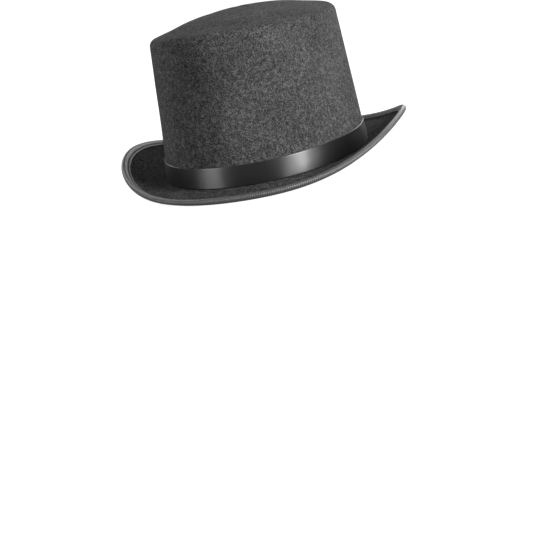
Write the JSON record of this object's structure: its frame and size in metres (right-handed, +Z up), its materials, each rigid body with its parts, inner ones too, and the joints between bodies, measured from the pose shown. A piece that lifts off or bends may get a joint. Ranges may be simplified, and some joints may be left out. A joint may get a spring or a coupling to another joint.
{
  "type": "top hat",
  "caption": "Felt top hat with a slightly tapered crown, gently domed tip, turned-up brim with a folded ribbon edge, satin band, sweatband and lining.",
  "frame": {"origin": "on the ground under the middle of the hat, which stands on its brim", "axes": "+Z up through the crown, front towards -Y, the wearer's left towards +X"},
  "size_m": [0.2416, 0.2762, 0.1314],
  "materials": {
    "felt": "matt brushed wool felt",
    "grosgrain": "ribbed ribbon with a dull sheen",
    "satin_band": "satin",
    "spring_wire": "drawn wire",
    "joiner_metal": "crimped sleeve",
    "dark_thread": "sewing thread",
    "sweat_ribbon": "ribbed ribbon",
    "lining_satin": "lining satin",
    "label_cloth": "woven tape, blank",
    "pale_thread": "sewing thread"
  },
  "bodies": {
    "root": {"felt_crown": "felt", "felt_brim": "felt", "brim_binding": "grosgrain", "brim_wire": "spring_wire", "wire_joiner": "joiner_metal", "binding_stitches": "dark_thread", "hatband": "satin_band", "hatband_keeper": "satin_band", "hatband_stitches": "dark_thread", "headline_stitches": "dark_thread", "sweatband": "sweat_ribbon", "sweatband_stitches": "dark_thread", "lining_side": "lining_satin", "lining_tip": "lining_satin", "lining_stitches": "dark_thread", "care_label": "label_cloth", "label_stitches": "pale_thread"}
  },
  "joints": []
}
